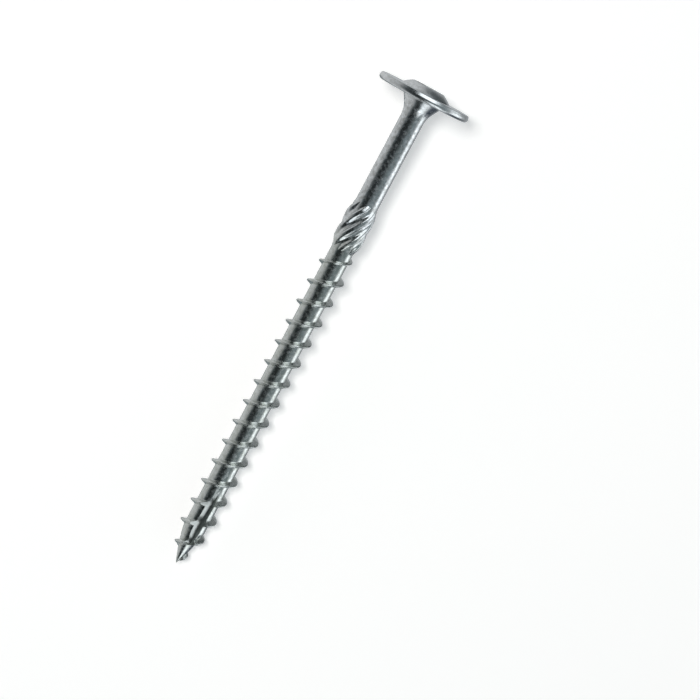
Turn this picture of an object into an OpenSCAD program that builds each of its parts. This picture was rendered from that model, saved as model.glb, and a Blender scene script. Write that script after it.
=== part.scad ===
// Washer-head timber screw, 8 x 120, lying as it comes to rest on a flat surface.
// It is drawn upright first: the bearing face under the washer is z = 0, the dome is above it
// and the point is straight below. Then it is laid down on its rim and on one thread crest.

/* [Head] */
// Diameter of the washer
washer_d = 22.1; // [21:0.1:25]
// Thickness of the washer
washer_t = 1.65; // [1.5:0.05:2.4]
// Height of the flat in the middle of the washer's rim, between its two roundings
rim_flat = 0.05; // [0.05:0.05:0.9]
// Diameter of the dome where it rises from the washer
dome_d = 12; // [11.5:0.1:14]
// Diameter of the flat on top of the dome
dome_top_d = 7.4; // [7.4:0.1:8.4]
// Height of the dome above the washer
dome_h = 1.55; // [1.4:0.05:2.2]
// Radius of the dome's crowned side
dome_crown = 9; // [5:0.5:20]

/* [Drive recess] */
// Width of the six-lobed recess across its lobes
drive_lobe_d = 6.75; // [6.5:0.05:6.9]
// Width of the recess across its flutes
drive_flute_d = 4.85; // [4.7:0.05:5]
// Rounding radius of a lobe
drive_lobe_r = 0.55; // [0.5:0.01:0.6]
// Depth of the recess below the top of the dome
drive_depth = 4; // [3.4:0.1:4.4]
// Depth of the countersink at its mouth
drive_lead_in = 0.3; // [0.2:0.05:0.5]

/* [Neck and shank] */
// Diameter of the cone under the washer, where it meets the bearing face
neck_d = 9.3; // [9:0.1:11.5]
// Angle of that cone's side from the axis
neck_angle = 30; // [26:1:36]
// Radius of the fillet from the cone to the shank
neck_fillet = 6; // [4:0.1:8]
// Diameter of the smooth shank
shank_d = 5.5; // [5.4:0.05:5.6]

/* [Milling ribs] */
// Distance from the bearing face to the top of the ribs
ribs_from = 25.8; // [24:0.1:40]
// Length of the ribbed stretch
ribs_len = 12.1; // [11:0.1:14]
// Number of ribs
rib_count = 6; // [4:1:8]
// Diameter over the ribs
ribs_d = 6.85; // [6.6:0.05:7.4]
// Diameter at the bottom of the grooves between the ribs
rib_root_d = 5.66; // [5.66:0.02:6]
// Length in which a rib would make a full turn
rib_lead = 28.2; // [24:0.1:40]
// Length in which the ribs rise from the shank
rib_run_in = 3.6; // [2:0.1:4.5]
// Length in which the ribs fall off above the thread
rib_run_out = 2.8; // [1.5:0.1:4.5]
// Direction of a rib's crest at the top of the ribs, turned about the axis
rib_turn = 21; // [0:1:359]

/* [Thread] */
// Length from the bearing face to the tip
screw_len = 120; // [110:1:160]
// Diameter over the thread
thread_d = 8; // [7.6:0.1:8.4]
// Diameter of the core
core_d = 5.3; // [5:0.05:5.5]
// Pitch of the single right-hand thread
pitch = 5.22; // [4.6:0.02:6]
// Width of the thread's crest
crest_w = 0.4; // [0.2:0.05:0.5]
// Width of the thread at its foot
thread_foot_w = 1.35; // [1:0.05:1.6]
// Gap between the ribs and the start of the thread
thread_gap = 0.5; // [0.4:0.1:2]
// Height above the tip of the first crest, on the side that lies down
first_crest = 3.5; // [2.8:0.1:3.6]

/* [Point] */
// Length in which the thread tapers to the tip
thread_taper = 11; // [9:0.5:14]
// Length in which the core tapers to the tip
core_taper = 9.3; // [8:0.1:12]
// Height above the tip at which the cutting notch starts
notch_from = 5.9; // [5:0.1:8]
// Height above the tip at which the notch starts to run out
notch_to = 16.2; // [13:0.1:20]
// Length in which the notch runs out to the core's surface
notch_run = 4.1; // [3:0.1:6]
// Distance of the notch's floor from the axis, along the direction that it faces
notch_floor = 1.3; // [1.1:0.05:1.6]
// Distance of the notch's floor from the axis, sideways
notch_side = 1.42; // [1.2:0.02:1.5]
// Lean of the notch towards the axis
notch_lean = 2; // [0:0.5:3]
// Direction that the notch faces, turned about the axis
notch_turn = 173; // [0:1:359]
// Included angle of the notch
notch_angle = 85; // [70:1:100]

/* [Hidden] */

zinc = [0.74, 0.77, 0.79];
axis_fn = 96;
// How far a cutter reaches past what it cuts, and a cone into what it meets
cut = 1;
overlap = 0.1;

// Steps along the arcs of an outline, and along those of the drive recess
arc_steps = 5;
lobe_steps = 8;
// Steps in a turn of the thread, the angle of each, and how many lie below the first crest
turn_steps = 36;
step_angle = 360 / turn_steps;
start_steps = 16;

washer_r = washer_d / 2;
rim_round = (washer_t - rim_flat) / 2;
rim_r = washer_r - rim_round;
head_h = washer_t + dome_h;
shank_r = shank_d / 2;
core_r = core_d / 2;
thread_r = thread_d / 2;
tip_z = -screw_len;
ribs_top_z = -ribs_from;
ribs_low_z = -ribs_from - ribs_len;

// Fillet of the neck: it touches the cone and the shank
fillet_r = shank_r + neck_fillet;
fillet_touch_r = fillet_r - neck_fillet * cos(neck_angle);
fillet_touch_z = -(neck_d / 2 - fillet_touch_r) / tan(neck_angle);
fillet_z = fillet_touch_z - neck_fillet * sin(neck_angle);

// Crown of the dome: an arc through the edge of its flat and its foot
crown_run = (dome_d - dome_top_d) / 2;
crown_chord = norm([crown_run, dome_h]);
crown_half = asin(crown_chord / 2 / dome_crown);
crown_mid = atan2(crown_run, dome_h);
crown_centre = [
    dome_top_d / 2 - dome_crown * cos(crown_mid + crown_half),
    head_h - dome_crown * sin(crown_mid + crown_half)
];

// Six-lobed recess: the flutes are arcs that touch the lobes
lobe_at = drive_lobe_d / 2 - drive_lobe_r;
flute_in = drive_flute_d / 2;
flute_r = (pow(lobe_at, 2) + pow(flute_in, 2) - 2 * lobe_at * flute_in * cos(30) - pow(drive_lobe_r, 2))
    / (2 * (drive_lobe_r - flute_in + lobe_at * cos(30)));
flute_at = flute_in + flute_r;
// Half of the angle that each arc spans
lobe_half = atan2(flute_at * sin(30), flute_at * cos(30) - lobe_at);
flute_half = lobe_half - 30;
// Countersunk mouth of the recess, and the cone at its bottom with its two radii
mouth_margin = 0.2;
mouth_r = drive_lobe_d / 2 + mouth_margin;
drive_cone_h = 0.8;
drive_cone_tip_r = 0.2;
drive_cone_r = 0.9 * flute_in;

// Thread helix, from near the tip to inside the ribbed stretch
start_angle = -start_steps * step_angle;
end_rise = ribs_low_z + cut + thread_foot_w / 2 - tip_z - first_crest;
thread_steps = ceil((360 * end_rise / pitch - start_angle) / step_angle);
flank = (thread_foot_w - crest_w) / 2 / (thread_r - core_r);
thread_top_z = ribs_low_z - thread_gap;
// Share of the height to which the thread starts, and the lengths of its two rises
start_share = 0.55;
first_rise = 0.6;
second_from = 1.5;
second_rise = 4.5;
tip_rise = 0.5;
least_foot = 0.02;
// How much the thread and the core bulge in their taper: 1 is a cone
thread_bulge = 1.5;
core_bulge = 1.18;

// Where it rests: the rim's lower rounding and the crest that meets the surface first
function tilt_on(turn) =
    let (z = tip_z + first_crest + turn * pitch)
    let (run = rim_round - z + crest_w / 2, rise = rim_r - crest_at(z))
    atan2(rise, run) + asin(rim_round / norm([run, rise]));
rest_tilt = min([for (turn = [0 : ceil(thread_taper / pitch)]) tilt_on(turn)]);
axis_h = rim_r * cos(rest_tilt) - rim_round * sin(rest_tilt) + rim_round;
reach_front = head_h * cos(rest_tilt) + dome_top_d / 2 * sin(rest_tilt);
reach_back = tip_z * cos(rest_tilt);
shift_x = -(reach_front + reach_back) / 2;

// Profile round a rib's crest as pairs of share of the spacing and share of the height
rib_profile = [[0.1, 1], [0.26, 0.5], [0.42, 0], [0.58, 0], [0.74, 0.5], [0.9, 1]];
rib_rows = 18;

// Notch: how far its floor rises in the run-out, a little past the core's surface, and how long
// its walls are, so that they cut through the crests
notch_past = 0.05;
notch_rise = sqrt(pow(core_r, 2) - pow(notch_side, 2)) - notch_floor + notch_past;
notch_wall = thread_r + 2 * cut;

// A share held between 0 and 1
function share(x) = min(1, max(0, x));

// Points of an arc in an outline
function arc(centre, r, from, to, n = arc_steps) =
    [for (k = [0 : n]) centre + r * [cos(from + (to - from) * k / n), sin(from + (to - from) * k / n)]];

// A point of an outline, turned about the axis
function turned(p, angle) = [p[0] * cos(angle) - p[1] * sin(angle), p[0] * sin(angle) + p[1] * cos(angle)];

// A point in cylinder coordinates
function at(r, angle, z) = [r * cos(angle), r * sin(angle), z];

// Radius of a bulging point at a height above its tip
function taper(height, len, full, bulge) =
    height >= len ? full : full * pow(1 - pow(1 - max(height, 0) / len, bulge), 1 / bulge);

function core_at(z) = taper(z - tip_z, core_taper, core_r, core_bulge);

function crest_at(z) = taper(z - tip_z, thread_taper, thread_r, thread_bulge);

// Height of the crest's middle at a step of the helix
function helix_z(i) = tip_z + first_crest + pitch * (start_angle + i * step_angle) / 360;

// How much of its height the thread has there
function thread_share(z) =
    let (below = thread_top_z - z)
    let (first = start_share * share(below / first_rise))
    let (second = (1 - start_share) * share((below - second_from) / second_rise))
    (first + second) * share((z - helix_z(0)) / tip_rise);

// Crest radius at a step of the helix
function thread_r_at(i) =
    let (z = helix_z(i))
    core_at(z) + (crest_at(z) - core_at(z)) * thread_share(z);

// Half width of the thread's foot there, a little wider than the crest where the thread starts
function foot_at(i) = crest_w / 2 + least_foot + (thread_r_at(i) - core_at(helix_z(i))) * flank;

// A point of the thread's strip: 0 and 3 are the foot, 1 and 2 the crest, 4 the core between turns
function strip_point(i, v) =
    let (angle = start_angle + i * step_angle)
    let (offset = [-foot_at(i), -crest_w / 2, crest_w / 2, foot_at(i), pitch / 2][v])
    let (z = helix_z(i) + offset)
    let (on_crest = v == 1 || v == 2)
    at(on_crest ? thread_r_at(i) : core_at(z), angle, z);

module head_and_shank() {
    outline = concat(
        [[0, head_h]],
        arc(crown_centre, dome_crown, crown_mid + crown_half, crown_mid - crown_half),
        arc([rim_r, washer_t - rim_round], rim_round, 90, 0),
        arc([rim_r, rim_round], rim_round, 0, -90),
        [[neck_d / 2, 0]],
        arc([fillet_r, fillet_z], neck_fillet, 180 - neck_angle, 180),
        [[shank_r, ribs_top_z - cut], [0, ribs_top_z - cut]]
    );
    color(zinc)
    rotate_extrude($fn = axis_fn)
    polygon(outline);
}

module drive_recess() {
    lobe = arc([lobe_at, 0], drive_lobe_r, -lobe_half, lobe_half, lobe_steps);
    flute = arc([flute_at, 0], flute_r, 180 + flute_half, 180 - flute_half, lobe_steps);
    outline = [for (k = [0 : 5])
        each concat(
            [for (p = lobe) turned(p, 60 * k)],
            [for (i = [1 : len(flute) - 2]) turned(flute[i], 60 * k + 30)]
        )];
    color(zinc)
    union() {
        translate([0, 0, head_h - drive_depth])
            linear_extrude(drive_depth + cut)
            polygon(outline);
        translate([0, 0, head_h - drive_lead_in])
            cylinder(drive_lead_in + cut, mouth_r - drive_lead_in, mouth_r + cut, $fn = axis_fn);
        translate([0, 0, head_h - drive_depth - drive_cone_h])
            cylinder(drive_cone_h + overlap, drive_cone_tip_r, drive_cone_r, $fn = axis_fn);
    }
}

// Ribs that widen the hole for the shank, wound steeply in the same hand as the thread
module milling_ribs() {
    per_rib = len(rib_profile);
    columns = rib_count * per_rib;
    rows = [for (j = [0 : rib_rows]) ribs_low_z + ribs_len * j / rib_rows];
    ring_points = [for (z = rows, k = [0 : columns - 1])
        let (rib = floor(k / per_rib), p = rib_profile[k % per_rib])
        let (rise = min(share((ribs_top_z - z) / rib_run_in), share((z - ribs_low_z) / rib_run_out)))
        let (height = (ribs_d - rib_root_d) / 2 * p[1] * sin(90 * rise))
        let (turn = rib_turn + 360 * (z - ribs_top_z) / rib_lead)
        at(rib_root_d / 2 + height, turn + (rib + p[0]) * 360 / rib_count, z)];
    low = len(ring_points);
    top = low + 1;
    sides = [for (j = [0 : rib_rows - 1], k = [0 : columns - 1])
        let (next = (k + 1) % columns)
        let (a = j * columns + k, b = j * columns + next, c = b + columns, d = a + columns)
        each [[a, d, c], [a, c, b]]];
    low_end = [for (k = [0 : columns - 1]) [k, (k + 1) % columns, low]];
    top_end = [for (k = [0 : columns - 1])
        [rib_rows * columns + (k + 1) % columns, rib_rows * columns + k, top]];
    color(zinc)
    polyhedron(
        concat(ring_points, [[0, 0, ribs_low_z], [0, 0, ribs_top_z]]),
        concat(sides, low_end, top_end)
    );
}

// Core, thread and point as one strip, wound from the tip up into the ribbed stretch
module core_and_thread() {
    n = turn_steps;
    m = thread_steps;
    foot = [for (i = [0 : m + n]) strip_point(i, 0)];
    rest = [for (i = [0 : m], v = [1 : 4]) strip_point(i, v)];
    tip = len(foot) + len(rest);
    top = tip + 1;
    function id(i, v) = v == 5 ? i + n : v == 0 ? i : m + n + 1 + 4 * i + v - 1;
    strip = [for (i = [0 : m - 1], v = [0 : 4])
        let (a = id(i, v), b = id(i + 1, v), c = id(i + 1, v + 1), d = id(i, v + 1))
        each [[a, d, c], [a, c, b]]];
    tip_end = concat(
        [for (i = [0 : n - 1]) [id(i, 0), id(i + 1, 0), tip]],
        [for (v = [0 : 4]) [id(0, v + 1), id(0, v), tip]]
    );
    top_end = concat(
        [for (i = [m - n : m - 1]) [id(i + 1, 5), id(i, 5), top]],
        [for (v = [0 : 4]) [id(m, v), id(m, v + 1), top]]
    );
    color(zinc)
    polyhedron(
        concat(foot, rest, [[0, 0, tip_z], [0, 0, helix_z(m) + pitch / 2]]),
        concat(strip, tip_end, top_end)
    );
}

// The notch that cuts the fibres: a V whose floor rises to the core's surface at its upper end
module cutting_notch() {
    half_w = notch_wall * tan(notch_angle / 2);
    stations = [[notch_from, 0], [notch_to, 0], [notch_to + notch_run, notch_rise]];
    points = [for (s = stations)
        let (z = tip_z + s[0])
        let (floor_x = notch_floor + s[1])
        let (floor_y = notch_side - (notch_to - s[0]) * tan(notch_lean))
        each [
            [floor_x, floor_y, z],
            [floor_x + notch_wall, floor_y - half_w, z],
            [floor_x + notch_wall, floor_y + half_w, z]
        ]];
    last = 3 * (len(stations) - 1);
    sides = [for (k = [0 : len(stations) - 2], e = [0 : 2])
        let (a = 3 * k + e, b = 3 * k + (e + 1) % 3, c = b + 3, d = a + 3)
        each [[a, c, b], [a, d, c]]];
    color(zinc)
    rotate([0, 0, notch_turn])
    polyhedron(points, concat(sides, [[0, 1, 2], [last + 2, last + 1, last]]));
}

module screw() {
    translate([shift_x, 0, axis_h])
    rotate([0, 90 - rest_tilt, 0])
    union() {
        difference() {
            head_and_shank();
            drive_recess();
        }
        milling_ribs();
        difference() {
            core_and_thread();
            cutting_notch();
        }
    }
}

screw();
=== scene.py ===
"""A washer-head timber screw in bright zinc, lying on a pale floor in soft studio light."""

import logging
import math
from dataclasses import dataclass, field
from enum import Enum
from typing import Callable

import bmesh
import bpy
from mathutils import Matrix, Vector


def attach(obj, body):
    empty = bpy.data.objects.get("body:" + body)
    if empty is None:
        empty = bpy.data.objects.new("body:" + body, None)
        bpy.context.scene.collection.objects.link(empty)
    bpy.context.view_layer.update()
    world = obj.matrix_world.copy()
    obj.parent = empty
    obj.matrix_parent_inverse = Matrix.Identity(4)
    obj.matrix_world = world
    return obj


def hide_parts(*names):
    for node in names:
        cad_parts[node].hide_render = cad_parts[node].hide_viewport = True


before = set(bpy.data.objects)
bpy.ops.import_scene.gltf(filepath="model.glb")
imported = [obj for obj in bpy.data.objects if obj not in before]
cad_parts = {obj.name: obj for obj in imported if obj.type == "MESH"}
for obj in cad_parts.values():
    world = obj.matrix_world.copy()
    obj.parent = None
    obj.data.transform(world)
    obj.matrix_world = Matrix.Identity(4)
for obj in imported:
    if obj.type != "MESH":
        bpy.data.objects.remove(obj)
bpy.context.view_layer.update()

log = logging.getLogger("screw")

MM = 0.001
NODE = "screw"
PIECE = "washer_head_screw"
GROUND = "ground"

Span = tuple[float, float]
Point = tuple[float, float]
Place = tuple[float, float, float]
Tint = tuple[float, float, float]
Outline = list[Point]
Socket = bpy.types.NodeSocket
Value = Socket | Tint | float

WHITE: Tint = (1.0, 1.0, 1.0)
COOL: Tint = (0.95, 1.0, 1.03)
SLATE: Tint = (0.84, 1.0, 1.05)
GREY: Tint = (0.98, 1.0, 1.01)
BLUE: Tint = (0.72, 0.9, 1.15)


class Join(Enum):
    """How one solid is combined with another."""

    ADD = "UNION"
    CUT = "DIFFERENCE"


class Fade(Enum):
    """How a mapped value runs from one end of its range to the other."""

    STRAIGHT = "LINEAR"
    SOFT = "SMOOTHSTEP"


class Sum(Enum):
    """What is worked out from one or two values."""

    MINUS = "SUBTRACT"
    TIMES = "MULTIPLY"
    SIZE = "ABSOLUTE"
    ANGLE = "ARCTAN2"


def deselect_all() -> None:
    """Leave nothing selected and no object in edit mode."""
    if bpy.context.object is not None and bpy.context.object.mode != "OBJECT":
        bpy.ops.object.mode_set(mode="OBJECT")
    bpy.ops.object.select_all(action="DESELECT")


def make_active(obj: bpy.types.Object) -> None:
    """Make one object the selected and active one.

    Args:
        obj: The object to work on.
    """
    deselect_all()
    obj.select_set(True)
    bpy.context.view_layer.objects.active = obj


def named_primitive(name: str) -> bpy.types.Object:
    """Name the primitive that was just added.

    Args:
        name: The name of the new object.

    Returns:
        The new object.
    """
    obj = bpy.context.object
    obj.name = name
    obj.data.name = name
    return obj


def select_points(obj: bpy.types.Object, wanted: Callable[[bmesh.types.BMVert], bool]) -> int:
    """Select, in edit mode, the points of a mesh that pass a test.

    Args:
        obj: The object in edit mode.
        wanted: The test that a point has to pass.

    Returns:
        How many points are selected.
    """
    mesh = bmesh.from_edit_mesh(obj.data)
    chosen = 0
    for vert in mesh.verts:
        vert.select = wanted(vert)
        chosen += vert.select
    mesh.select_flush_mode()
    bmesh.update_edit_mesh(obj.data, loop_triangles=False, destructive=False)
    return chosen


def close_and_clean(obj: bpy.types.Object, merge: float = 0.0005) -> None:
    """Merge doubles of a mesh and turn its faces outward.

    Args:
        obj: The object whose mesh is closed.
        merge: Distance within which points are merged.
    """
    make_active(obj)
    bpy.ops.object.mode_set(mode="EDIT")
    bpy.ops.mesh.select_all(action="SELECT")
    bpy.ops.mesh.remove_doubles(threshold=merge)
    bpy.ops.mesh.normals_make_consistent(inside=False)
    bpy.ops.object.mode_set(mode="OBJECT")


def combine(base: bpy.types.Object, other: bpy.types.Object, join: Join) -> bpy.types.Object:
    """Join a solid to another or cut it out of it, and delete the one used.

    Args:
        base: The solid that stays.
        other: The solid that is joined or cut out.
        join: Whether it is joined or cut out.

    Returns:
        The base, with its new mesh.
    """
    make_active(base)
    modifier = base.modifiers.new(name=join.name.lower(), type="BOOLEAN")
    modifier.operation = join.value
    modifier.solver = "EXACT"
    modifier.material_mode = "TRANSFER"
    modifier.object = other
    bpy.ops.object.modifier_apply(modifier=modifier.name)
    bpy.data.objects.remove(other, do_unlink=True)
    return base


def spin_outline(name: str, outline: Outline, steps: int) -> bpy.types.Object:
    """Turn an outline about the Z axis into a closed solid.

    Args:
        name: The name of the new object.
        outline: Radius and height of its points, from one end on the axis to the other.
        steps: Number of steps in the full turn.

    Returns:
        The turned solid.
    """
    deselect_all()
    radius, height = outline[0]
    bpy.ops.mesh.primitive_plane_add(size=1, location=(radius, 0, height))
    obj = named_primitive(name)
    bpy.ops.object.transform_apply(location=True, rotation=True, scale=True)
    bpy.ops.object.mode_set(mode="EDIT")
    bpy.ops.mesh.merge(type="CENTER")
    for (r_from, z_from), (r_to, z_to) in zip(outline, outline[1:]):
        step = (r_to - r_from, 0, z_to - z_from)
        bpy.ops.mesh.extrude_region_move(TRANSFORM_OT_translate={"value": step})
    bpy.ops.mesh.select_all(action="SELECT")
    bpy.ops.mesh.spin(
        steps=steps, angle=math.tau, center=(0, 0, 0), axis=(0, 0, 1), use_auto_merge=True
    )
    bpy.ops.object.mode_set(mode="OBJECT")
    close_and_clean(obj)
    return obj


def arc(centre: Point, radius: float, start: float, end: float, steps: int) -> Outline:
    """Points of an arc in an outline.

    Args:
        centre: Radius and height of the arc's centre.
        radius: The arc's radius.
        start: Angle of its first point in degrees.
        end: Angle of its last point in degrees.
        steps: Number of steps from the first to the last.

    Returns:
        The points, as pairs of radius and height.
    """
    turns = [math.radians(start + (end - start) * k / steps) for k in range(steps + 1)]
    return [(centre[0] + radius * math.cos(t), centre[1] + radius * math.sin(t)) for t in turns]


def share(value: float) -> float:
    """Hold a number between 0 and 1."""
    return min(1.0, max(0.0, value))


@dataclass
class NodeBench:
    """The nodes of a material or of the room, with short ways to add and feed them."""

    tree: bpy.types.NodeTree

    def feed(self, target: Socket, value: Value) -> None:
        """Set an input, or link it to the output that feeds it.

        Args:
            target: The input.
            value: A number, a colour or an output.
        """
        if isinstance(value, bpy.types.NodeSocket):
            self.tree.links.new(value, target)
        elif isinstance(value, tuple):
            target.default_value = (*value, 1)
        else:
            target.default_value = value

    def fill(self, node: bpy.types.Node, inputs: dict[str, Value]) -> None:
        """Feed several inputs of a node.

        Args:
            node: The node.
            inputs: Its inputs by name, each with what feeds it.
        """
        for name, value in inputs.items():
            self.feed(node.inputs[name], value)

    def node(self, kind: str, inputs: dict[str, Value] | None = None) -> bpy.types.Node:
        """Add a node.

        Args:
            kind: The type of the node.
            inputs: Its inputs by name, each with what feeds it.

        Returns:
            The node.
        """
        node = self.tree.nodes.new(kind)
        self.fill(node, inputs or {})
        return node

    def axes(self, space: str) -> bpy.types.NodeOutputs:
        """Add the coordinates of a space.

        Args:
            space: The name of the space.

        Returns:
            The outputs X, Y and Z.
        """
        place = self.node("ShaderNodeTexCoord").outputs[space]
        return self.node("ShaderNodeSeparateXYZ", {"Vector": place}).outputs

    def worked_out(self, operation: Sum, *values: Value) -> Socket:
        """Work out a number.

        Args:
            operation: What is worked out.
            *values: What it is worked out from.

        Returns:
            The output of the number.
        """
        node = self.node("ShaderNodeMath")
        node.operation = operation.value
        for place, value in enumerate(values):
            self.feed(node.inputs[place], value)
        return node.outputs["Value"]

    def ranged(
        self, value: Socket, source: Span, target: Span = (0, 1), fade: Fade = Fade.STRAIGHT
    ) -> Socket:
        """Map a number from one range to another, and hold it inside the second.

        Args:
            value: The output of the number.
            source: The range that it has.
            target: The range that it gets.
            fade: How it runs from one end to the other.

        Returns:
            The output of the mapped number.
        """
        node = self.node("ShaderNodeMapRange", {"Value": value})
        node.interpolation_type = fade.value
        self.fill(node, {"From Min": source[0], "From Max": source[1]})
        self.fill(node, {"To Min": target[0], "To Max": target[1]})
        return node.outputs["Result"]

    def mixed(self, factor: Socket, low: Value, high: Value) -> Socket:
        """Mix two colours.

        Args:
            factor: The output of the mix, 0 for the first colour and 1 for the second.
            low: The first colour, or its output.
            high: The second colour, or its output.

        Returns:
            The output of the mixed colour.
        """
        node = self.node("ShaderNodeMix")
        node.data_type = "RGBA"
        self.fill(node, {"Factor": factor, "A": low, "B": high})
        return node.outputs["Result"]

    def evened(self, factor: Socket, value: Socket, level: float) -> Socket:
        """Draw a number towards a level.

        Args:
            factor: The output that says how far, 0 for not at all and 1 for wholly.
            value: The output of the number.
            level: The level.

        Returns:
            The output of the evened number.
        """
        return self.node(
            "ShaderNodeMix", {"Factor": factor, "A": value, "B": level}
        ).outputs["Result"]


def new_material(name: str) -> tuple[bpy.types.Material, NodeBench]:
    """Add a material.

    Args:
        name: The name of the material.

    Returns:
        The material and its nodes.
    """
    material = bpy.data.materials.new(name)
    material.use_nodes = True
    return material, NodeBench(material.node_tree)


@dataclass
class Stem:
    """Washer, dome, neck, shank, core and point: all that is round, as one turned solid.

    Heights are measured from the bearing face, and the point is below it. Sizes are in millimetres,
    and the curve at the neck's foot is given in shares of the foot's fillet, outward and down.
    """

    washer_d: float = 22.1
    washer_t: float = 1.65
    rim_flat: float = 0.05
    rim_slant: float = 20.0
    rim_edge: float = 0.18
    dome_d: float = 12.0
    dome_top_d: float = 7.4
    dome_h: float = 1.55
    dome_crown: float = 9.0
    neck_d: float = 9.3
    neck_angle: float = 30.0
    neck_fillet: float = 6.0
    foot_fillet: float = 0.35
    foot_curve: tuple[Point, ...] = ((1.0, 0.0), (0.35, 0.12), (-0.15, 0.45))
    shank_d: float = 5.5
    core_d: float = 5.3
    length: float = 120.0
    step_at: float = 32.0
    core_taper: float = 9.3
    core_bulge: float = 1.18
    turn_steps: int = 192
    dome_steps: int = 14
    edge_steps: int = 7
    rim_steps: int = 24
    neck_steps: int = 16
    point_steps: int = 14

    @property
    def rim_round(self) -> float:
        """Rounding of the washer's rim, above and below its flat middle."""
        return (self.washer_t - self.rim_flat) / 2

    @property
    def head_h(self) -> float:
        """Height of the dome's top above the bearing face."""
        return self.washer_t + self.dome_h

    @property
    def tip_z(self) -> float:
        """Height of the tip."""
        return -self.length

    def core_at(self, z: float) -> float:
        """Radius of the core at a height.

        Args:
            z: The height.

        Returns:
            The radius, which tapers to nothing at the tip.
        """
        above = z - self.tip_z
        if above >= self.core_taper:
            return self.core_d / 2
        left = 1 - max(above, 0) / self.core_taper
        return self.core_d / 2 * (1 - left**self.core_bulge) ** (1 / self.core_bulge)

    def dome(self) -> Outline:
        """Outline of the dome, from the edge of its flat top to its foot.

        Returns:
            The points, as pairs of radius and height.
        """
        run = (self.dome_d - self.dome_top_d) / 2
        half = math.degrees(math.asin(math.hypot(run, self.dome_h) / 2 / self.dome_crown))
        middle = math.degrees(math.atan2(run, self.dome_h))
        centre = (
            self.dome_top_d / 2 - self.dome_crown * math.cos(math.radians(middle + half)),
            self.head_h - self.dome_crown * math.sin(math.radians(middle + half)),
        )
        return arc(centre, self.dome_crown, middle + half, middle - half, self.dome_steps)

    def rim(self) -> Outline:
        """Outline of the rim, from the washer's upper face to its bearing face.

        Returns:
            The points, as pairs of radius and height.
        """
        slant = math.radians(self.rim_slant)
        middle = (self.washer_d / 2 - self.rim_round, self.rim_round)
        lower = arc(middle, self.rim_round, self.rim_slant, -90, self.rim_steps)
        edge_z = self.washer_t - self.rim_edge
        rise = edge_z + self.rim_edge * math.sin(slant) - lower[0][1]
        edge_r = lower[0][0] - rise * math.tan(slant) - self.rim_edge * math.cos(slant)
        edge = arc((edge_r, edge_z), self.rim_edge, 90, self.rim_slant, self.edge_steps)
        return edge + lower

    def neck(self) -> Outline:
        """Outline of the neck, from the bearing face to the shank.

        Returns:
            The points, as pairs of radius and height.
        """
        fillet_r = self.shank_d / 2 + self.neck_fillet
        turn = math.radians(self.neck_angle)
        touch_r = fillet_r - self.neck_fillet * math.cos(turn)
        touch_z = -(self.neck_d / 2 - touch_r) / math.tan(turn)
        fillet_z = touch_z - self.neck_fillet * math.sin(turn)
        foot_r, root = self.neck_d / 2, self.foot_fillet
        foot = [(foot_r + root * out, -root * down) for out, down in self.foot_curve]
        foot.append((foot_r - root * math.tan(turn), -root))
        side = 180 - self.neck_angle
        return foot + arc((fillet_r, fillet_z), self.neck_fillet, side, 180, self.neck_steps)

    def point(self) -> Outline:
        """Outline of the tapered point, from the core down to the tip.

        Returns:
            The points, as pairs of radius and height.
        """
        rows = self.point_steps
        heights = [self.core_taper * (1 - k / rows) for k in range(rows + 1)]
        return [(self.core_at(self.tip_z + h), self.tip_z + h) for h in heights]

    def build(self) -> bpy.types.Object:
        """Turn the whole outline.

        Returns:
            The turned solid.
        """
        outline = (
            [(0.0, self.head_h)]
            + self.dome()
            + self.rim()
            + self.neck()
            + [(self.shank_d / 2, -self.step_at), (self.core_d / 2, -self.step_at)]
            + self.point()
        )
        return spin_outline("stem", outline, self.turn_steps)


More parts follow.
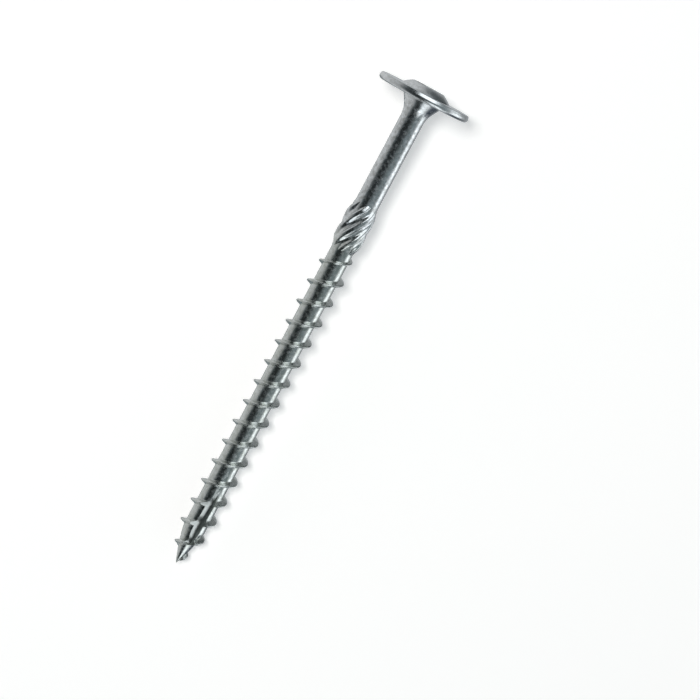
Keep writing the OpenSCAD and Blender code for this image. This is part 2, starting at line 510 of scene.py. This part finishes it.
@dataclass
class DriveRecess:
    """Six-lobed recess in the dome, with a countersunk mouth. Sizes are in millimetres."""

    top_z: float = 3.2
    lobes: int = 6
    lobe_d: float = 6.75
    flute_d: float = 4.85
    lobe_r: float = 0.55
    depth: float = 4.0
    lead_in: float = 0.3
    mouth_margin: float = 0.2
    cone_h: float = 0.8
    cone_tip_r: float = 0.2
    cone_share: float = 0.9
    cone_overlap: float = 0.1
    over: float = 1.0
    rod_steps: int = 64
    cone_steps: int = 96

    def rod(self, name: str, radius: float, away: float, angle: float) -> bpy.types.Object:
        """Add an upright rod as deep as the recess.

        Args:
            name: The name of the rod.
            radius: Its radius.
            away: Distance of its axis from the screw's axis.
            angle: Direction in which it stands, in degrees.

        Returns:
            The rod.
        """
        turn = math.radians(angle)
        deselect_all()
        bpy.ops.mesh.primitive_cylinder_add(
            vertices=self.rod_steps,
            radius=radius,
            depth=self.depth + self.over,
            location=(
                away * math.cos(turn),
                away * math.sin(turn),
                self.top_z + (self.over - self.depth) / 2,
            ),
        )
        return named_primitive(name)

    def cone(
        self, name: str, low_r: float, high_r: float, low_z: float, height: float
    ) -> bpy.types.Object:
        """Add an upright cone with a flat top and bottom.

        Args:
            name: The name of the cone.
            low_r: Radius at its bottom.
            high_r: Radius at its top.
            low_z: Height of its bottom.
            height: Its height.

        Returns:
            The cone.
        """
        deselect_all()
        bpy.ops.mesh.primitive_cone_add(
            vertices=self.cone_steps,
            radius1=low_r,
            radius2=high_r,
            depth=height,
            location=(0, 0, low_z + height / 2),
        )
        return named_primitive(name)

    def build(self) -> bpy.types.Object:
        """Build the solid that is cut out of the dome.

        Returns:
            The cutter.
        """
        lobe_at = self.lobe_d / 2 - self.lobe_r
        inner = self.flute_d / 2
        spacing = 360 / self.lobes
        half = math.radians(spacing / 2)
        flute_r = (
            lobe_at**2 + inner**2 - 2 * lobe_at * inner * math.cos(half) - self.lobe_r**2
        ) / (2 * (self.lobe_r - inner + lobe_at * math.cos(half)))
        flute_at = inner + flute_r
        run, rise = flute_at * math.cos(half) - lobe_at, flute_at * math.sin(half)
        touch = self.lobe_r / math.hypot(run, rise)
        rod_r = math.hypot(lobe_at + run * touch, rise * touch)
        cutter = self.rod("drive_recess", rod_r, 0, 0)
        for k in range(self.lobes):
            combine(cutter, self.rod("flute", flute_r, flute_at, spacing * (k + 0.5)), Join.CUT)
        for k in range(self.lobes):
            combine(cutter, self.rod("lobe", self.lobe_r, lobe_at, spacing * k), Join.ADD)
        mouth_r = self.lobe_d / 2 + self.mouth_margin
        mouth = self.cone(
            "mouth",
            mouth_r - self.lead_in,
            mouth_r + self.over,
            self.top_z - self.lead_in,
            self.lead_in + self.over,
        )
        combine(cutter, mouth, Join.ADD)
        bottom = self.cone(
            "bottom",
            self.cone_tip_r,
            self.cone_share * inner,
            self.top_z - self.depth - self.cone_h,
            self.cone_h + self.cone_overlap,
        )
        return combine(cutter, bottom, Join.ADD)


@dataclass
class MillingRibs:
    """Steep ribs between the shank and the thread. Sizes are in millimetres."""

    top_z: float = -25.8
    length: float = 12.1
    count: int = 6
    crest_d: float = 6.85
    root_d: float = 5.66
    lead: float = 28.2
    run_in: float = 3.6
    run_out: float = 2.8
    crest_turn: float = 21.0
    sunk: float = 0.78
    steps_per_rib: int = 24
    rows: int = 60
    crest_half: float = 0.1
    foot_half: float = 0.42
    same_level: float = 0.0002

    def height_share(self, away: float) -> float:
        """How high the ribs' section is beside a crest.

        Args:
            away: Distance from the crest as a share of the spacing, up to 0.5.

        Returns:
            The height as a share of the rib's height.
        """
        across = share((away - self.crest_half) / (self.foot_half - self.crest_half))
        return 0.5 + 0.5 * math.cos(math.pi * across)

    def scale_at(self, z: float) -> float:
        """How much the section is shrunk at a height, so that the ribs sink into the shank.

        Args:
            z: The height.

        Returns:
            The scale of the section.
        """
        low_z = self.top_z - self.length
        rise = min(share((self.top_z - z) / self.run_in), share((z - low_z) / self.run_out))
        return self.sunk + (1 - self.sunk) * math.sin(math.pi / 2 * rise)

    def build(self) -> bpy.types.Object:
        """Extrude the ribs' section row by row, turning and scaling it.

        Returns:
            The ribbed solid.
        """
        low_z = self.top_z - self.length
        points = self.count * self.steps_per_rib
        deselect_all()
        bpy.ops.mesh.primitive_circle_add(
            vertices=points, radius=self.root_d / 2, fill_type="NGON", location=(0, 0, low_z)
        )
        obj = named_primitive("milling_ribs")
        bpy.ops.object.transform_apply(location=True, rotation=True, scale=True)
        bpy.ops.object.mode_set(mode="EDIT")
        spacing = 360 / self.count
        low_turn = self.crest_turn - 360 * self.length / self.lead

        def away_from_crest(vert: bmesh.types.BMVert) -> float:
            """Distance of a point from the nearest crest, as a share of the spacing."""
            angle = math.degrees(math.atan2(vert.co.y, vert.co.x)) - low_turn
            inside = (angle / spacing) % 1
            return min(inside, 1 - inside)

        mesh = bmesh.from_edit_mesh(obj.data)
        levels = sorted({round(away_from_crest(v), 4) for v in mesh.verts})
        rise = (self.crest_d - self.root_d) / self.root_d
        for level in levels:
            select_points(
                obj, lambda v, level=level: abs(away_from_crest(v) - level) < self.same_level
            )
            grow = 1 + rise * self.height_share(level)
            bpy.ops.transform.resize(value=(grow, grow, 1), center_override=(0, 0, low_z))
        bpy.ops.mesh.select_all(action="SELECT")
        before = self.scale_at(low_z)
        bpy.ops.transform.resize(value=(before, before, 1), center_override=(0, 0, low_z))
        step = self.length / self.rows
        turn = math.radians(360 * step / self.lead)
        for row in range(1, self.rows + 1):
            z = low_z + row * step
            bpy.ops.mesh.extrude_region_move(TRANSFORM_OT_translate={"value": (0, 0, step)})
            bpy.ops.transform.rotate(value=-turn, orient_axis="Z", center_override=(0, 0, z))
            now = self.scale_at(z)
            grow = now / before
            bpy.ops.transform.resize(value=(grow, grow, 1), center_override=(0, 0, z))
            before = now
        bpy.ops.object.mode_set(mode="OBJECT")
        close_and_clean(obj)
        return obj


@dataclass
class WoodThread:
    """Coarse right-hand thread that starts under the ribs and tapers to the tip, in millimetres.

    The curve and the reach of its root are shares of the root's fillet.
    """

    stem: Stem
    thread_d: float = 8.0
    pitch: float = 5.22
    crest_w: float = 0.4
    foot_w: float = 1.35
    root_fillet: float = 0.12
    root_sunk: float = 0.05
    root_curve: tuple[Point, ...] = ((0.25, -0.35), (0.45, 0.05))
    root_reach: float = 1.1
    crest_round: float = 0.2
    crest_curve: tuple[Point, ...] = ((0.1, 0.02), (0.03, 0.1))
    crest_flat: float = 0.03
    gap: float = 0.5
    ribs_low_z: float = -37.9
    first_crest: float = 3.5
    taper: float = 11.0
    bulge: float = 1.5
    start_angle: float = -160.0
    turn_steps: int = 72
    start_share: float = 0.55
    first_rise: float = 0.6
    second_from: float = 1.5
    second_rise: float = 4.5
    tip_rise: float = 0.5
    least_foot: float = 0.02
    sunk_r: float = 1.9
    into_ribs: float = 1.0
    merge: float = 0.0001

    @property
    def start_z(self) -> float:
        """Height of the crest's middle where the thread starts at the tip."""
        return self.stem.tip_z + self.first_crest + self.pitch * self.start_angle / 360

    @property
    def flank(self) -> float:
        """Half width that the thread gains for each millimetre towards its foot."""
        return (self.foot_w - self.crest_w) / (self.thread_d - self.stem.core_d)

    def crest_at(self, z: float) -> float:
        """Radius of the full thread at a height.

        Args:
            z: The height.

        Returns:
            The radius, which tapers to nothing at the tip.
        """
        above = z - self.stem.tip_z
        if above >= self.taper:
            return self.thread_d / 2
        left = 1 - max(above, 0) / self.taper
        return self.thread_d / 2 * (1 - left**self.bulge) ** (1 / self.bulge)

    def crest_r(self, z: float) -> float:
        """Radius of the crest at a height, where the thread may still be rising.

        Args:
            z: The height.

        Returns:
            The radius.
        """
        below = self.ribs_low_z - self.gap - z
        risen = self.start_share * share(below / self.first_rise)
        risen += (1 - self.start_share) * share((below - self.second_from) / self.second_rise)
        risen *= share((z - self.start_z) / self.tip_rise)
        core = self.stem.core_at(z)
        return core + (self.crest_at(z) - core) * risen

    def section(self) -> Outline:
        """Outline of the thread's section with its foot sunk in the core.

        Returns:
            The points from below to above, as pairs of radius and height.
        """
        core_r, crest_r = self.stem.core_d / 2, self.thread_d / 2
        crest, foot, root = self.crest_w / 2, self.foot_w / 2, self.root_fillet
        reach = self.root_reach * root
        lower = [(self.sunk_r, -foot - root), (core_r - self.root_sunk, -foot - root)]
        lower += [(core_r + out * root, -foot + up * root) for out, up in self.root_curve]
        lower.append((core_r + reach, -foot + reach * self.flank))
        lower.append((crest_r - self.crest_round, -crest - self.crest_round * self.flank))
        lower += [(crest_r - inside, -crest + up) for inside, up in self.crest_curve]
        lower.append((crest_r, -self.crest_flat))
        return lower + [(r, -z) for r, z in reversed(lower)]

    def build(self) -> bpy.types.Object:
        """Wind the section up the helix, and taper it at its two ends.

        Returns:
            The closed helical solid.
        """
        section = self.section()
        deselect_all()
        radius, height = section[0]
        bpy.ops.mesh.primitive_plane_add(size=1, location=(radius, 0, self.start_z + height))
        obj = named_primitive("wood_thread")
        bpy.ops.object.transform_apply(location=True, rotation=True, scale=True)
        bpy.ops.object.mode_set(mode="EDIT")
        bpy.ops.mesh.merge(type="CENTER")
        for (r_from, z_from), (r_to, z_to) in zip(section, section[1:]):
            step = (r_to - r_from, 0, z_to - z_from)
            bpy.ops.mesh.extrude_region_move(TRANSFORM_OT_translate={"value": step})
        bpy.ops.mesh.select_all(action="SELECT")
        bpy.ops.mesh.edge_face_add()
        bpy.ops.mesh.delete(type="ONLY_FACE")
        bpy.ops.object.mode_set(mode="OBJECT")
        rise = self.ribs_low_z + self.into_ribs - self.start_z
        steps = math.ceil(rise / self.pitch * self.turn_steps)
        winding = obj.modifiers.new(name="winding", type="SCREW")
        winding.axis = "Z"
        winding.angle = math.tau * steps / self.turn_steps
        winding.screw_offset = self.pitch * steps / self.turn_steps
        winding.iterations = 1
        winding.steps = steps
        winding.render_steps = steps
        bpy.ops.object.modifier_apply(modifier=winding.name)
        self.taper_ends(obj, len(section), steps)
        self.close_ends(obj, len(section), steps)
        bpy.ops.transform.rotate(
            value=-math.radians(self.start_angle), orient_axis="Z", center_override=(0, 0, 0)
        )
        bpy.ops.object.transform_apply(location=True, rotation=True, scale=True)
        close_and_clean(obj, self.merge)
        return obj

    def taper_ends(self, obj: bpy.types.Object, ring: int, steps: int) -> None:
        """Scale each section of the thread where it isn't at its full height.

        Args:
            obj: The wound thread.
            ring: Number of points in a section.
            steps: Number of steps along the helix.
        """
        full = self.thread_d / 2
        full_height = full - self.stem.core_d / 2
        make_active(obj)
        bpy.ops.object.mode_set(mode="EDIT")
        for step in range(steps + 1):
            z = self.start_z + self.pitch * step / self.turn_steps
            reach = self.crest_r(z)
            if abs(reach - full) < self.merge:
                continue
            height = max(reach - self.stem.core_at(z), 0.0)
            spread = (self.foot_w - self.crest_w) * height / full_height
            narrow = (self.crest_w + 2 * self.least_foot + spread) / self.foot_w
            select_points(obj, lambda v, step=step: v.index // ring == step)
            bpy.ops.transform.resize(
                value=(reach / full, reach / full, narrow), center_override=(0, 0, z)
            )
        bpy.ops.object.mode_set(mode="OBJECT")

    def close_ends(self, obj: bpy.types.Object, ring: int, steps: int) -> None:
        """Close the first and the last section of the thread with a face.

        Args:
            obj: The wound thread.
            ring: Number of points in a section.
            steps: Number of steps along the helix.
        """
        make_active(obj)
        bpy.ops.object.mode_set(mode="EDIT")
        for end in (0, steps):
            select_points(obj, lambda v, end=end: v.index // ring == end)
            bpy.ops.mesh.edge_face_add()
        bpy.ops.object.mode_set(mode="OBJECT")


@dataclass
class CuttingNotch:
    """V notch that is ground along the point, in millimetres."""

    stem: Stem
    start: float = 5.9
    run_from: float = 16.2
    run: float = 4.1
    floor_x: float = 1.3
    floor_y: float = 1.42
    lean: float = 2.0
    turn: float = 173.0
    angle: float = 85.0
    past: float = 0.05
    wall: float = 6.0

    def build(self) -> bpy.types.Object:
        """Extrude the V along the point, with its floor rising at the end.

        Returns:
            The cutter.
        """
        half = self.wall * math.tan(math.radians(self.angle / 2))
        rise = math.sqrt((self.stem.core_d / 2) ** 2 - self.floor_y**2) - self.floor_x + self.past
        slope = math.tan(math.radians(self.lean))
        start_y = self.floor_y - (self.run_from - self.start) * slope
        low_z = self.stem.tip_z + self.start
        deselect_all()
        bpy.ops.mesh.primitive_plane_add(size=1, location=(self.floor_x, start_y, low_z))
        obj = named_primitive("cutting_notch")
        bpy.ops.object.transform_apply(location=True, rotation=True, scale=True)
        bpy.ops.object.mode_set(mode="EDIT")
        bpy.ops.mesh.merge(type="CENTER")
        for step in ((self.wall, -half, 0), (0, 2 * half, 0)):
            bpy.ops.mesh.extrude_region_move(TRANSFORM_OT_translate={"value": step})
        bpy.ops.mesh.select_all(action="SELECT")
        bpy.ops.mesh.edge_face_add()
        length = self.run_from - self.start
        for step in ((0, length * slope, length), (rise, self.run * slope, self.run)):
            bpy.ops.mesh.extrude_region_move(TRANSFORM_OT_translate={"value": step})
        bpy.ops.mesh.select_all(action="SELECT")
        bpy.ops.mesh.normals_make_consistent(inside=False)
        bpy.ops.transform.rotate(
            value=-math.radians(self.turn), orient_axis="Z", center_override=(0, 0, 0)
        )
        bpy.ops.object.mode_set(mode="OBJECT")
        return obj


@dataclass(frozen=True)
class Cloud:
    """A noise in the screw's own coordinates: blotches to the metre, and its finer layers."""

    scale: float
    detail: float


@dataclass(frozen=True)
class BrightZinc:
    """Bright zinc plating over rolled steel.

    It is mottled, wavier where the thread was rolled, calmer on the head, and evenly satin where
    the notch was ground. Depths, and places along the screw, are in metres.
    """

    colour: Tint = (0.68, 0.7, 0.715)
    dull: Tint = (0.44, 0.45, 0.445)
    rolled_colour: Tint = (0.62, 0.64, 0.63)
    rolled_dull: Tint = (0.49, 0.51, 0.48)
    blotches: Cloud = Cloud(1200.0, 5)
    blotch_range: Span = (0.36, 0.64)
    blotch_middle: float = 0.5
    specks: Cloud = Cloud(1500.0, 4)
    speck_range: Span = (0.42, 0.68)
    roughness: Span = (0.15, 0.43)
    waves: Cloud = Cloud(700.0, 2)
    wave_depth: float = 0.000045
    grain: Cloud = Cloud(2400.0, 3)
    grain_depth: float = 0.000007
    rolled_edge: Span = (0.022, 0.026)
    smooth_waves: float = 0.25
    head_edge: Span = (0.0555, 0.0575)
    head_calm: float = 0.55
    head_roughness: float = 0.24
    ground_roughness: float = 0.3

    def noise(self, bench: NodeBench, cloud: Cloud) -> Socket:
        """Add a noise.

        Args:
            bench: The nodes of the material.
            cloud: The kind of noise.

        Returns:
            The output of the noise.
        """
        place = bench.node("ShaderNodeTexCoord").outputs["Object"]
        inputs = {"Vector": place, "Scale": cloud.scale, "Detail": cloud.detail}
        return bench.node("ShaderNodeTexNoise", inputs).outputs["Fac"]

    def tone(self, bench: NodeBench, along: Socket, smooth: Socket) -> Socket:
        """Mottle the colour, and less so on the head.

        Args:
            bench: The nodes of the material.
            along: The output of the place along the screw.
            smooth: The output that is 1 on the smooth part and 0 on the rolled one.

        Returns:
            The output of the colour.
        """
        blotch = bench.ranged(self.noise(bench, self.blotches), self.blotch_range)
        calm = bench.ranged(along, self.head_edge, (0, self.head_calm))
        blotch = bench.evened(calm, blotch, self.blotch_middle)
        clean = bench.mixed(smooth, self.rolled_colour, self.colour)
        dull = bench.mixed(smooth, self.rolled_dull, self.dull)
        return bench.mixed(blotch, clean, dull)

    def satin(self, bench: NodeBench, along: Socket) -> Socket:
        """Speckle the roughness, but not on the head and on the notch's walls.

        Args:
            bench: The nodes of the material.
            along: The output of the place along the screw.

        Returns:
            The output of the roughness.
        """
        rough = bench.ranged(self.noise(bench, self.specks), self.speck_range, self.roughness)
        rough = bench.evened(bench.ranged(along, self.head_edge), rough, self.head_roughness)
        ground = bench.node("ShaderNodeAttribute")
        ground.attribute_name = GROUND
        return bench.evened(ground.outputs["Fac"], rough, self.ground_roughness)

    def relief(self, bench: NodeBench, smooth: Socket) -> Socket:
        """Add the waves of the surface, which are lower on the smooth part, and a fine grain.

        Args:
            bench: The nodes of the material.
            smooth: The output that is 1 on the smooth part and 0 on the rolled one.

        Returns:
            The output of the normal.
        """
        waves = {
            "Distance": self.wave_depth,
            "Strength": bench.ranged(smooth, (0, 1), (1, self.smooth_waves)),
            "Height": self.noise(bench, self.waves),
        }
        grain = {
            "Distance": self.grain_depth,
            "Height": self.noise(bench, self.grain),
            "Normal": bench.node("ShaderNodeBump", waves).outputs["Normal"],
        }
        return bench.node("ShaderNodeBump", grain).outputs["Normal"]

    def build(self) -> bpy.types.Material:
        """Build the material.

        Returns:
            The material.
        """
        material, bench = new_material("bright_zinc")
        along = bench.axes("Object")["X"]
        smooth = bench.ranged(along, self.rolled_edge)
        inputs = {
            "Metallic": 1.0,
            "Base Color": self.tone(bench, along, smooth),
            "Roughness": self.satin(bench, along),
            "Normal": self.relief(bench, smooth),
        }
        bench.fill(bench.tree.nodes["Principled BSDF"], inputs)
        return material


@dataclass
class TimberScrew:
    """The whole screw: every form joined in one solid, laid down as it comes to rest."""

    stem: Stem = field(default_factory=Stem)
    finish: BrightZinc = field(default_factory=BrightZinc)
    smooth_angle: float = 32.0
    face_weight: int = 75

    def rest_tilt(self, thread: WoodThread) -> float:
        """Angle of the axis when the rim and the crest that is met first touch the floor.

        Args:
            thread: The thread that it lies on.

        Returns:
            The angle in radians.
        """
        tilts = []
        for turn in range(math.ceil(thread.taper / thread.pitch) + 1):
            crest_z = self.stem.tip_z + thread.first_crest + turn * thread.pitch
            run = self.stem.rim_round - crest_z + thread.crest_w / 2
            rise = self.stem.washer_d / 2 - self.stem.rim_round - thread.crest_at(crest_z)
            rounding = math.asin(self.stem.rim_round / math.hypot(run, rise))
            tilts.append(math.atan2(rise, run) + rounding)
        return min(tilts)

    def lay_down(self, obj: bpy.types.Object, thread: WoodThread) -> None:
        """Turn the upright screw to where it lies, and bring it from millimetres to metres.

        Args:
            obj: The upright screw.
            thread: The thread that it lies on.
        """
        tilt = self.rest_tilt(thread)
        rim_r = self.stem.washer_d / 2 - self.stem.rim_round
        axis_h = rim_r * math.cos(tilt) - self.stem.rim_round * math.sin(tilt) + self.stem.rim_round
        front = self.stem.head_h * math.cos(tilt) + self.stem.dome_top_d / 2 * math.sin(tilt)
        back = self.stem.tip_z * math.cos(tilt)
        obj.matrix_world = (
            Matrix.Scale(MM, 4)
            @ Matrix.Translation((-(front + back) / 2, 0, axis_h))
            @ Matrix.Rotation(math.pi / 2 - tilt, 4, "Y")
        )
        make_active(obj)
        bpy.ops.object.transform_apply(location=True, rotation=True, scale=True)

    def smooth(self, obj: bpy.types.Object) -> None:
        """Smooth the shading, with large faces such as the shank's keeping their true normals.

        Args:
            obj: The upright screw, still in millimetres.
        """
        make_active(obj)
        bpy.ops.object.shade_smooth_by_angle(angle=math.radians(self.smooth_angle))
        even = obj.modifiers.new(name="even_shading", type="WEIGHTED_NORMAL")
        even.mode = "FACE_AREA"
        even.weight = self.face_weight
        even.keep_sharp = True
        bpy.ops.object.modifier_apply(modifier=even.name)

    def cut_notch(self, obj: bpy.types.Object) -> None:
        """Cut the notch, and mark its walls as ground in an attribute of the mesh.

        Args:
            obj: The screw with its thread.
        """
        cutter = CuttingNotch(self.stem).build()
        for solid, name in ((obj, "rolled_skin"), (cutter, GROUND)):
            solid.data.materials.clear()
            solid.data.materials.append(bpy.data.materials.new(name))
        combine(obj, cutter, Join.CUT)
        walls = [float(face.material_index > 0) for face in obj.data.polygons]
        obj.data.attributes.new(GROUND, "FLOAT", "FACE").data.foreach_set("value", walls)
        for face in obj.data.polygons:
            face.material_index = 0
        log.info("notch: %d ground faces", int(sum(walls)))

    def build(self) -> bpy.types.Object:
        """Model the screw, lay it down and dress it.

        Returns:
            The finished piece.
        """
        thread = WoodThread(self.stem)
        screw = self.stem.build()
        log.info("stem: %d faces", len(screw.data.polygons))
        combine(screw, DriveRecess(top_z=self.stem.head_h).build(), Join.CUT)
        combine(screw, MillingRibs().build(), Join.ADD)
        combine(screw, thread.build(), Join.ADD)
        self.cut_notch(screw)
        close_and_clean(screw)
        self.smooth(screw)
        self.lay_down(screw, thread)
        screw.name = PIECE
        screw.data.name = PIECE
        screw.data.materials.clear()
        screw.data.materials.append(self.finish.build())
        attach(screw, "root")
        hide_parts(NODE)
        log.info("%s: %d faces", PIECE, len(screw.data.polygons))
        return screw


@dataclass(frozen=True)
class Card:
    """A softbox, a dark flag or a painted reflection of the shaded floor, which only shows as a
    reflection in the metal.

    Its directions are in degrees, seen from the screw: turn 0 is the side of its right hand with
    the head ahead, 90 is behind the point, 180 the left and 270 beyond the head. It hangs away by
    so many metres, and fades out at each edge over a share of its width that soft gives.
    """

    name: str
    turns: Span
    rises: Span
    level: float
    away: float = 1.0
    tint: Tint = WHITE
    soft: float = 0.25

    def direction(self, turn: float, rise: float) -> Vector:
        """Direction for a turn and a rise in degrees, as a unit vector."""
        around, up = math.radians(turn), math.radians(rise)
        level = math.cos(up)
        return Vector((-math.sin(around) * level, -math.cos(around) * level, math.sin(up)))

    def inside(self, bench: NodeBench) -> Socket:
        """Mask that fades out towards the card's edges.

        Args:
            bench: The nodes of the card's material.

        Returns:
            The output of the mask.
        """
        axes = bench.axes("UV")
        fades = []
        for axis in "XY":
            away = bench.worked_out(Sum.SIZE, bench.worked_out(Sum.MINUS, axes[axis], 0.5))
            fades.append(bench.ranged(away, (0.5, 0.5 - self.soft), fade=Fade.SOFT))
        return bench.worked_out(Sum.TIMES, *fades)

    def build(self) -> bpy.types.Object:
        """Hang up the card, facing the screw.

        Returns:
            The card.
        """
        turn, rise = sum(self.turns) / 2, sum(self.rises) / 2
        middle = self.direction(turn, rise)
        wide = 2 * math.tan(math.radians(self.turns[1] - self.turns[0]) / 2)
        wide *= math.cos(math.radians(rise))
        high = 2 * math.tan(math.radians(self.rises[1] - self.rises[0]) / 2)
        deselect_all()
        bpy.ops.mesh.primitive_plane_add(size=1, location=(0, 0, 0))
        card = named_primitive(self.name)
        card.matrix_world = (
            Matrix.Translation(middle * self.away)
            @ middle.to_track_quat("Z", "Y").to_matrix().to_4x4()
            @ Matrix.Diagonal((wide * self.away, high * self.away, 1, 1))
        )
        bpy.ops.object.transform_apply(location=True, rotation=True, scale=True)
        material, bench = new_material(self.name)
        bench.tree.nodes.remove(bench.tree.nodes["Principled BSDF"])
        glow = bench.node("ShaderNodeEmission", {"Color": self.tint, "Strength": self.level})
        edge = bench.node("ShaderNodeMixShader", {"Fac": self.inside(bench)})
        clear = bench.node("ShaderNodeBsdfTransparent")
        bench.feed(edge.inputs[1], clear.outputs["BSDF"])
        bench.feed(edge.inputs[2], glow.outputs["Emission"])
        bench.fill(bench.tree.nodes["Material Output"], {"Surface": edge.outputs["Shader"]})
        card.data.materials.append(material)
        card.visible_camera = False
        card.visible_diffuse = False
        card.visible_shadow = False
        return card


@dataclass
class Studio:
    """Pale floor, soft light, a room and cards that the metal mirrors, and the camera.

    The room is given in bands round the screw's axis, each with its angle from overhead in degrees,
    negative at the screw's right, its level and its tint. Its bands below the horizon stand in for
    the floor, which the metal doesn't mirror. The darker ones straight down and low at the screw's
    right are a painted reflection of the screw's shadow on the floor. The camera's places are in
    millimetres and its roll is in degrees. The lamp and the floor are in metres.
    """

    camera_at: Place = (42.1, 0.0, 461.0)
    camera_aim: Place = (1.12, -12.15, 6.0)
    camera_roll: float = 28.17
    lens: float = 103.68
    sensor: float = 36.0
    clip: Span = (0.01, 50.0)
    room: tuple[tuple[float, float, Tint], ...] = (
        # Straight down (-180 and 180) and low at the right (-152, -124): painted reflection of the
        # floor in the screw's shadow, darker than the lit floor at the left.
        (-180, 0.58, COOL),
        (-152, 0.42, COOL),
        (-124, 0.42, COOL),
        (-112, 1.4, COOL),
        (-101, 1.8, COOL),
        (-87, 1.8, COOL),
        (-77, 0.55, COOL),
        (-62, 0.3, SLATE),
        (-30, 0.25, SLATE),
        (-12, 0.12, SLATE),
        (6, 0.03, SLATE),
        (36, 0.035, SLATE),
        (52, 0.14, SLATE),
        (66, 0.5, GREY),
        (90, 0.66, GREY),
        (135, 0.8, GREY),
        (158, 0.74, GREY),
        (180, 0.58, COOL),
    )
    cards: tuple[Card, ...] = (
        Card("point_box", (36, 80), (4, 56), 1.7, 0.9, COOL),
        Card("head_box", (252, 318), (18, 74), 2.0, 0.9, COOL, 0.2),
        Card("head_strip", (258, 288), (4, 18), 1.5, 0.9, COOL),
        Card("low_flag", (16, 64), (-62, 10), 0.09, 1.0, BLUE),
        # These two are a painted reflection of the floor shaded by the screw beneath it. They
        # darken the thread's ends at its left.
        Card("painted_floor_shade_left", (72, 148), (-84, -34), 0.28, 0.95, SLATE, 0.3),
        Card("painted_floor_shade_under", (112, 196), (-90, -50), 0.2, 0.93, SLATE, 0.4),
        Card("head_flag", (252, 346), (-44, 18), 0.09, 1.0, SLATE, 0.42),
        Card("dome_flag", (286, 334), (-60, -6), 0.05, 0.95, SLATE, 0.45),
    )
    floor_size: float = 4.0
    floor_colour: Tint = (0.9, 0.9, 0.9)
    floor_roughness: float = 0.9
    floor_glow: float = 0.4
    backdrop: Tint = (0.57, 0.59, 0.595)
    lamp_at: Place = (0.08, 0.18, 0.83)
    lamp_size: float = 0.26
    lamp_power: float = 3.9
    lamp_colour: Tint = (1.0, 0.98, 0.95)

    def floor(self) -> bpy.types.Object:
        """Add the floor.

        Returns:
            The floor.
        """
        deselect_all()
        bpy.ops.mesh.primitive_plane_add(size=self.floor_size, location=(0, 0, 0))
        floor = named_primitive("floor")
        material, bench = new_material("pale_floor")
        seen = bench.node("ShaderNodeLightPath").outputs["Is Camera Ray"]
        inputs = {
            "Base Color": self.floor_colour,
            "Roughness": self.floor_roughness,
            "Emission Color": WHITE,
            "Emission Strength": bench.worked_out(Sum.TIMES, seen, self.floor_glow),
        }
        bench.fill(bench.tree.nodes["Principled BSDF"], inputs)
        floor.data.materials.append(material)
        floor.visible_glossy = False
        return floor

    def sky(self) -> None:
        """Build the room that the metal mirrors, with a painted reflection of the floor's shadow in
        its low bands at the screw's right, and a plain backdrop for the camera.
        """
        world = bpy.data.worlds.new("room")
        bpy.context.scene.world = world
        world.use_nodes = True
        bench = NodeBench(world.node_tree)
        axes = bench.axes("Generated")
        turn = bench.worked_out(Sum.ANGLE, axes["Y"], axes["Z"])
        along = bench.ranged(turn, (-math.pi, math.pi))
        bands = bench.node("ShaderNodeValToRGB", {"Fac": along})
        ramp = bands.color_ramp
        ramp.interpolation = "EASE"
        while len(ramp.elements) < len(self.room):
            ramp.elements.new(1.0)
        for element, (angle, level, tint) in zip(ramp.elements, self.room):
            element.position = (angle + 180) / 360
            element.color = (*(level * part for part in tint), 1)
        seen = bench.node("ShaderNodeLightPath").outputs["Is Camera Ray"]
        shown = bench.mixed(seen, bands.outputs["Color"], self.backdrop)
        bench.fill(bench.tree.nodes["Background"], {"Color": shown})

    def lamp(self) -> bpy.types.Object:
        """Add the soft lamp that casts the shadow.

        Returns:
            The lamp.
        """
        data = bpy.data.lights.new("soft_key", "AREA")
        data.shape = "DISK"
        data.size = self.lamp_size
        data.energy = self.lamp_power
        data.color = self.lamp_colour
        lamp = bpy.data.objects.new("soft_key", data)
        bpy.context.scene.collection.objects.link(lamp)
        lamp.location = self.lamp_at
        lamp.rotation_euler = (-lamp.location).to_track_quat("-Z", "Y").to_euler()
        lamp.visible_glossy = False
        return lamp

    def camera(self) -> bpy.types.Object:
        """Place the camera where the photograph was taken from.

        Returns:
            The camera.
        """
        data = bpy.data.cameras.new("photo_camera")
        data.lens = self.lens
        data.sensor_width = self.sensor
        data.clip_start, data.clip_end = self.clip
        camera = bpy.data.objects.new("photo_camera", data)
        bpy.context.scene.collection.objects.link(camera)
        place, aim = Vector(self.camera_at) * MM, Vector(self.camera_aim) * MM
        back = (place - aim).normalized()
        roll = math.radians(self.camera_roll)
        world_x = (Vector((1, 0, 0)) - back * back.x).normalized()
        side = back.cross(world_x)
        up = world_x * math.cos(roll) + side * math.sin(roll)
        right = up.cross(back)
        turned = Matrix((right, up, back)).transposed().to_4x4()
        camera.matrix_world = Matrix.Translation(place) @ turned
        bpy.context.scene.camera = camera
        return camera

    def build(self) -> None:
        """Set up floor, light, cards and camera."""
        self.floor()
        for card in self.cards:
            card.build()
        self.sky()
        self.lamp()
        self.camera()
        bpy.context.scene.view_settings.view_transform = "Standard"
        log.info("studio: %d cards", len(self.cards))


def main() -> None:
    """Build the screw and the studio."""
    logging.basicConfig(level=logging.INFO)
    Studio().build()
    TimberScrew().build()


if __name__ == "__main__":
    main()
